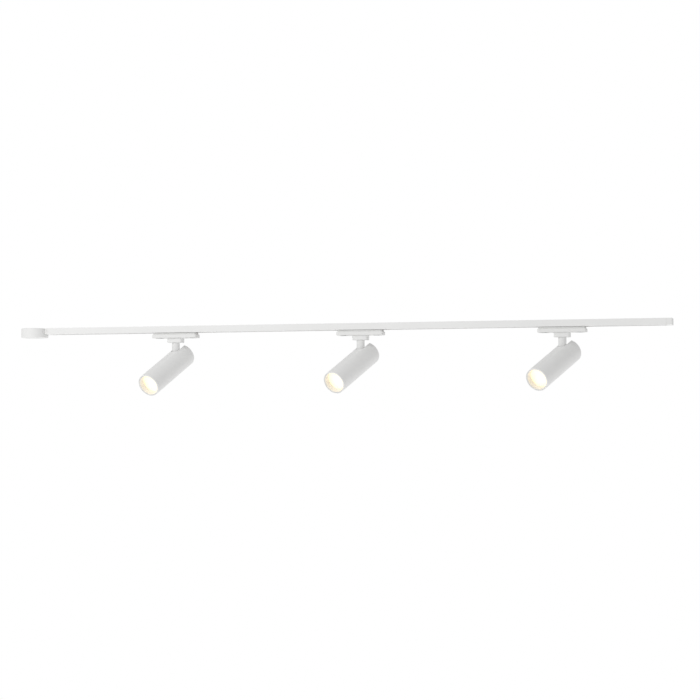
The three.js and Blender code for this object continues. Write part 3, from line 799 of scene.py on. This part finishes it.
def thumb_and_shaft(name, shaft_top):
    profile = [
        (0, disc_foot),
        (thumb_radius, disc_foot),
        (thumb_radius, disc_top),
        (shaft_radius, disc_top),
        (shaft_radius, shaft_top),
        (0, shaft_top),
    ]
    turner = turned(name, profile, (0, 0.4, 0.3, 0.3, 0.3, 0), 72, "z")
    return combined(turner, "UNION", arc_ended("grip", grip_half, grip_width, grip_span))


def hinge_places(joint):
    return {
        number: Matrix.Translation((joints[f"{joint}_{number}"]["pos_m"][0], 0, 0)) for number in (1, 2, 3)
    }


wing_half, wing_foot, wing_top = 11.8, -13.6, -11.6
lever = thumb_and_shaft("lever", wing_top)
combined(lever, "UNION", arc_ended("wing", wing_half, rotor_width, (wing_foot, wing_top)))
eased(lever, 0.25, 40)
for number, piece in set_out(lever, "lock_turner", hinge_places("lock_turn")):
    nylon.on(piece)
    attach(piece, f"lock_{number}")
    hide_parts(f"lock_lever_{number}")


# ---------------------------------------------------------------- contact rotors and blades
# The same thumb disc and shaft, carrying an arm with a pocket at each end. A copper blade sits in
# each pocket, and its round tip reaches for the conductor once the arm is across the track.
arm_half, arm_foot, arm_top = 9.8, -9.7, -5.7
blade_half, blade_near, blade_tip, blade_foot, blade_top = 2.5, 5.5, 12.5, -8.7, -6.7
pocket_gap = 0.1
rotor = thumb_and_shaft("rotor", arm_top)
combined(rotor, "UNION", arc_ended("arm", arm_half, rotor_width, (arm_foot, arm_top)))
pocket_half, pocket_end = blade_half + pocket_gap, 11
pocket_span = (blade_foot - pocket_gap, blade_top + pocket_gap)
for side in (-1, 1):
    pocket_sides = sorted((side * (blade_near - pocket_gap), side * pocket_end))
    combined(rotor, "DIFFERENCE", block("pocket", (-pocket_half, pocket_half), pocket_sides, pocket_span))
eased(rotor, 0.2, 40)
for number, piece in set_out(rotor, "contact_turner", hinge_places("contact_turn")):
    nylon.on(piece)
    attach(piece, f"contacts_{number}")
    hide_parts(f"contact_rotor_{number}")

for side, node in ((-1, "contact_live"), (1, "contact_neutral")):
    blade_sides = sorted((side * blade_near, side * (blade_tip + 1)))
    blade = block("blade", (-blade_half, blade_half), blade_sides, (blade_foot, blade_top))
    combined(blade, "INTERSECT", rod(blade_tip, (-20, 0), sides=128))
    eased(blade, 0.3, 40, 3)
    for number, piece in set_out(blade, node + "_blade", hinge_places("contact_turn")):
        copper.on(piece)
        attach(piece, f"contacts_{number}")
        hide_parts(f"{node}_{number}")


# ---------------------------------------------------------------- stems
# Turned, drilled and powder coated. The flange at the top lies in the swivel base, the lower end
# is rounded about the tilt pin, and the lead comes out of a side hole inside the lamp.
stem_places, lamp_places = {}, {}
for number in (1, 2, 3):
    tilt_joint = joints[f"tilt_{number}"]
    axis = tilt_joint["axis"]
    swung = Matrix.Rotation(math.atan2(-axis[0], axis[1]), 4, "Z")
    tipped = Matrix.Rotation(math.radians(90 - tilt_joint["range_deg"][1]), 4, "Y")
    at_pin = Matrix.Translation(tilt_joint["pos_m"])
    stem_places[number] = at_pin @ swung
    lamp_places[number] = at_pin @ swung @ tipped

pin_level = joints["tilt_1"]["pos_m"][2] * 1000
stem_radius, flange_radius, stem_bore, pin_hole, lead_exit = 9.2, 10.6, 4.0, 2.7, 3.0
flange_foot, stem_top = -34.7 - pin_level, -28.3 - pin_level
stem_profile = [
    (0, -stem_radius),
    (stem_radius, -stem_radius),
    (stem_radius, flange_foot),
    (flange_radius, flange_foot),
    (flange_radius, stem_top),
    (0, stem_top),
]
stem = turned("stem", stem_profile, (0, 0, 0.3, 0.4, 0.5, 0), 96, "z")
end_room = combined(
    rod(stem_radius, (-20, 20), axis="y", sides=96), "UNION", block("above", (-20, 20), (-20, 20), (0, 80))
)
combined(stem, "INTERSECT", end_room)
combined(
    stem,
    "DIFFERENCE",
    rod(stem_bore, (5, 90)),
    rod(pin_hole, (-20, 20), axis="y"),
    rod(lead_exit, (0, 20), z=stem_radius + stem_bore, axis="x", sides=32),
)
eased(stem, 0.25, 40)
for number, piece in set_out(stem, "swivel_stem", stem_places):
    paint.on(piece)
    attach(piece, f"pan_arm_{number}")
    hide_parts(f"stem_{number}")


# ---------------------------------------------------------------- lamp bodies
# A length of 55 mm aluminium tube, powder coated inside and out and open at the back. A slot in
# its top, rounded where it stops the stem at the least tilt, lets the stem swing as the lamp tilts.
tube_outer, tube_inner, tube_back, tube_front = 27.5, 25.5, -38.4, 119.1
stem_slot, slot_stop = 10.0, -10.48
tube_profile = [
    (tube_inner, tube_back),
    (tube_outer, tube_back),
    (tube_outer, tube_front),
    (tube_inner, tube_front),
]
tube = turned("tube", tube_profile, 0.45, 128)
combined(
    tube,
    "DIFFERENCE",
    combined(
        rod(stem_slot, (0, 40), slot_stop, sides=96),
        "UNION",
        block("slot", (tube_back - 5, slot_stop), (-stem_slot, stem_slot), (0, 40)),
    ),
)
eased(tube, 0.3, 50)
for number, piece in set_out(tube, "lamp_body", lamp_places):
    paint.on(piece)
    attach(piece, f"spot_{number}")
    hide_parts(f"body_tube_{number}")


# ---------------------------------------------------------------- yokes, pins and their screws
# A white-painted bulkhead across the tube, with two cheeks that carry the tilt pin on either side
# of the stem. Two slotted screws fix the bulkhead to the heat sink in front of it.
insert_radius, yoke_back, yoke_front = 25.2, 12.2, 14.7
cheek_inner, cheek_outer, cheek_radius = 9.8, 11.8, 7.0
lead_hole_level = 15.8
yoke = rod(insert_radius, (yoke_back, yoke_front), axis="x", sides=96)
combined(yoke, "DIFFERENCE", rod(stem_bore, (0, 30), z=lead_hole_level, axis="x"))
for side in (-1, 1):
    cheek_sides = sorted((side * cheek_inner, side * cheek_outer))
    cheek = block("cheek", (0, yoke_back + 1), cheek_sides, (-cheek_radius, cheek_radius))
    combined(cheek, "UNION", rod(cheek_radius, cheek_sides, axis="y", sides=64))
    combined(yoke, "UNION", cheek)
combined(yoke, "DIFFERENCE", rod(2.6, (-30, 30), axis="y"))
eased(yoke, 0.25, 40)
for number, piece in set_out(yoke, "tilt_yoke", lamp_places):
    paint.on(piece)
    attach(piece, f"spot_{number}")
    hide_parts(f"yoke_{number}")

pin_half, pin_radius = 12.8, 2.5
pin_profile = [(0, -pin_half), (pin_radius, -pin_half), (pin_radius, pin_half), (0, pin_half)]
pin = eased(turned("pin", pin_profile, 0.5, 48, "y"), 0)
for number, piece in set_out(pin, "tilt_axle", lamp_places):
    steel.on(piece)
    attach(piece, f"spot_{number}")
    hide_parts(f"tilt_pin_{number}")

yoke_screws = screws(
    "yoke_screws",
    Count=2,
    First=(yoke_back - 0.7, -17.0, -6.0),
    Step=(0.0, 34.0, 0.0),
    Turn=(0.0, -math.pi / 2, 0.0),
    Radius=2.6,
    Height=1.4,
    Slot=0.7,
)
for number, piece in set_out(yoke_screws, "bulkhead_screws", lamp_places):
    steel.on(piece)
    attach(piece, f"spot_{number}")


# ---------------------------------------------------------------- heat sinks and drivers
# A cup turned from bare aluminium, pushed into the tube against the bulkhead: its skirt houses the
# black driver, and its thick plate carries the light source. The tool's marks run round it.
bare = Finish("turned_aluminium", Metallic=1.0)
split = bare.node("ShaderNodeSeparateXYZ", None, {0: bare.own}, out="X")
off_axis = bare.node(
    "ShaderNodeVectorMath", {"operation": "LENGTH"}, {0: bare.stretched(0, 1, 1)}, out="Value"
)
ring_place = bare.node("ShaderNodeCombineXYZ", None, {"X": split, "Y": off_axis})
tool_marks = bare.noise(3400, 1, ring_place)
bare_cloud = bare.noise(50, 3)
bare.feed("Base Color", bare.blend(bare_cloud, (0.68, 0.69, 0.70, 1), (0.82, 0.825, 0.83, 1)))
bare.feed("Roughness", 0.24 + tool_marks * 0.16 + bare_cloud * 0.08)
bare.relief(tool_marks, 0.00005, 0.5)

sink_back, sink_front, sink_plate, skirt_inner = 15.0, 69.1, 6.0, 22.7
sink_profile = [
    (skirt_inner, sink_back),
    (insert_radius, sink_back),
    (insert_radius, sink_front),
    (0, sink_front),
    (0, sink_front - sink_plate),
    (skirt_inner, sink_front - sink_plate),
]
sink = turned("sink", sink_profile, (0.3, 0.4, 0.6, 0, 0, 0.8), 96)
combined(sink, "DIFFERENCE", rod(2.0, (60, 80), z=lead_hole_level, axis="x", sides=32))
eased(sink, 0)
for number, piece in set_out(sink, "cooling_cup", lamp_places):
    bare.on(piece)
    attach(piece, f"spot_{number}")
    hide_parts(f"heat_sink_{number}")

black_plastic = Finish("black_moulded_plastic", Specular_IOR_Level=0.5)
black_cloud = black_plastic.noise(70, 3)
black_grain = black_plastic.noise(2600, 2)
black_tone = black_plastic.blend(black_cloud, (0.020, 0.021, 0.023, 1), (0.034, 0.035, 0.037, 1))
# The outer edges are lightened as a painted highlight.
black_highlit = black_plastic.blend(black_plastic.edges() * 0.6, black_tone, (0.09, 0.09, 0.092, 1))
black_plastic.feed("Base Color", black_highlit)
black_plastic.feed("Roughness", 0.40 + black_grain * 0.16)
black_plastic.relief(black_grain, 0.00005, 0.5)

driver_back, driver_front, driver_half, driver_rise = 15.3, 51.1, 13.0, 8.0
driver = block(
    "driver", (driver_back, driver_front), (-driver_half, driver_half), (-driver_rise, driver_rise), 1.5
)
lid_depth, lid_seam, core_corner = 0.4, (3.0, 3.4), 1.2
core_length, core_half = (driver_back + lid_depth, driver_front - lid_depth), driver_half - lid_depth
lid_gap = block("lid_gap", (0, 80), (-20, 20), lid_seam)
lid_core = block("lid_core", core_length, (-core_half, core_half), (2, 5), core_corner)
combined(driver, "DIFFERENCE", combined(lid_gap, "DIFFERENCE", lid_core))
eased(driver, 0.35, 50)
for number, piece in set_out(driver, "driver_case", lamp_places):
    black_plastic.on(piece)
    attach(piece, f"spot_{number}")
    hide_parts(f"driver_{number}")


# ---------------------------------------------------------------- light sources
# A square white-faced board on the heat sink's plate, with one round yellow phosphor dome whose
# warm light fills the reflector.
board_white = Finish("white_board", Specular_IOR_Level=0.5)
board_cloud = board_white.noise(500, 2)
board_white.feed("Base Color", board_white.blend(board_cloud, (0.74, 0.73, 0.70, 1), (0.82, 0.81, 0.78, 1)))
board_white.feed("Roughness", 0.36 + board_cloud * 0.12)
board_white.relief(board_cloud, 0.00003, 0.4)
board_back, board_front, board_half, board_hole, hole_place = 69.4, 70.36, 9.5, 1.3, 7.6
board = block("board", (board_back, board_front), (-board_half, board_half), (-board_half, board_half))
for place in (hole_place, -hole_place):
    combined(board, "DIFFERENCE", rod(board_hole, (60, 80), 0, place, place, "x", 32))
eased(board, 0.12, 50)
for number, piece in set_out(board, "light_board", lamp_places):
    board_white.on(piece)
    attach(piece, f"spot_{number}")
    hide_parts(f"led_module_{number}")

glow = Finish("phosphor_dome", Roughness=0.4, Emission_Strength=1.5)
glow_cells = glow.noise(1500, 2)
glow.feed("Base Color", glow.blend(glow_cells, (0.88, 0.62, 0.16, 1), (0.95, 0.72, 0.24, 1)))
glow.feed("Emission Color", glow.blend(glow_cells, (1.0, 0.80, 0.52, 1), (1.0, 0.86, 0.62, 1)))
glow.relief(glow_cells, 0.00004, 0.4)
dome_radius, dome_edge, dome_top = 6.84, 70.75, 71.0
dome_profile = [(0, board_front), (dome_radius, board_front), (dome_radius, dome_edge), (0, dome_top)]
dome = eased(turned("dome", dome_profile, (0, 0.1, 0.3, 0), 72), 0)
for number, piece in set_out(dome, "light_dome", lamp_places):
    glow.on(piece)
    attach(piece, f"spot_{number}")
    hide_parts(f"led_module_{number}")


# ---------------------------------------------------------------- reflectors
# A spun aluminium bowl, bright anodised and lightly peened to even out the beam. It widens from
# the light source to the lens along a parabola.
mirror = Finish("bright_peened_aluminium", Metallic=1.0)
dimples = mirror.node("ShaderNodeTexVoronoi", None, {"Vector": mirror.own, "Scale": 700})
mirror.feed("Base Color", mirror.blend(mirror.noise(60), (0.90, 0.87, 0.80, 1), (0.95, 0.92, 0.86, 1)))
mirror.feed("Roughness", 0.10 + dimples * 0.12)
mirror.relief(dimples, 0.00012, 0.5)
bowl_back, bowl_depth, bowl_throat, bowl_mouth, bowl_wall, bowl_steps = 71.3, 30.0, 8.1, 23.7, 1.0, 24
bowl_line = []
for step in range(bowl_steps + 1):
    out = step / bowl_steps
    radius = bowl_throat + (bowl_mouth - bowl_throat) * out
    bowl_line.append((radius, bowl_back + out * out * bowl_depth))
bowl_outside = [(radius + bowl_wall, along) for radius, along in reversed(bowl_line)]
bowl = eased(turned("bowl", bowl_line + bowl_outside, 0, 96), 0)
for number, piece in set_out(bowl, "beam_reflector", lamp_places):
    mirror.on(piece)
    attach(piece, f"spot_{number}")
    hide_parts(f"reflector_{number}")


# ---------------------------------------------------------------- lenses
# A frosted diffusing disc in front of the reflector. The light from the light source behind it is painted
# on as a glow: brightest over the light source, and a little warmer towards its rim.
frosted = Finish("frosted_lens", Base_Color=(0.9, 0.88, 0.83, 1), Coat_Weight=0.3, Emission_Strength=0.8)
frost = frosted.noise(2200, 2)
lens_radius_share = frosted.between(
    frosted.node(
        "ShaderNodeVectorMath", {"operation": "LENGTH"}, {0: frosted.stretched(0, 1, 1)}, out="Value"
    ),
    0.008,
    0.026,
)
frosted.feed("Emission Color", frosted.blend(lens_radius_share, (1.0, 0.76, 0.34, 1), (1.0, 0.68, 0.22, 1)))
frosted.feed("Roughness", 0.38 + frost * 0.14)
frosted.relief(frost, 0.00005, 0.4)
lens_back, lens_front = 101.6, 103.8
lens_profile = [(0, lens_back), (insert_radius, lens_back), (insert_radius, lens_front), (0, lens_front)]
lens = eased(turned("lens", lens_profile, 0.35, 96), 0)
for number, piece in set_out(lens, "diffuser", lamp_places):
    frosted.on(piece)
    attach(piece, f"spot_{number}")
    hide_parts(f"lens_{number}")


# ---------------------------------------------------------------- anti-glare rings
# A white moulded ring pressed into the mouth against the lens. It flares slightly outwards, and
# sits just inside the tube's edge.
ring_back, ring_front, ring_inner_back, ring_inner_front = 104.1, 118.5, 23.1, 23.9
ring_profile = [
    (ring_inner_back, ring_back),
    (insert_radius, ring_back),
    (insert_radius, ring_front),
    (ring_inner_front, ring_front),
]
ring = eased(turned("ring", ring_profile, (0.2, 0.2, 0.3, 0.5), 128), 0)
for number, piece in set_out(ring, "glare_ring", lamp_places):
    plastic.on(piece)
    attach(piece, f"spot_{number}")
    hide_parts(f"front_ring_{number}")
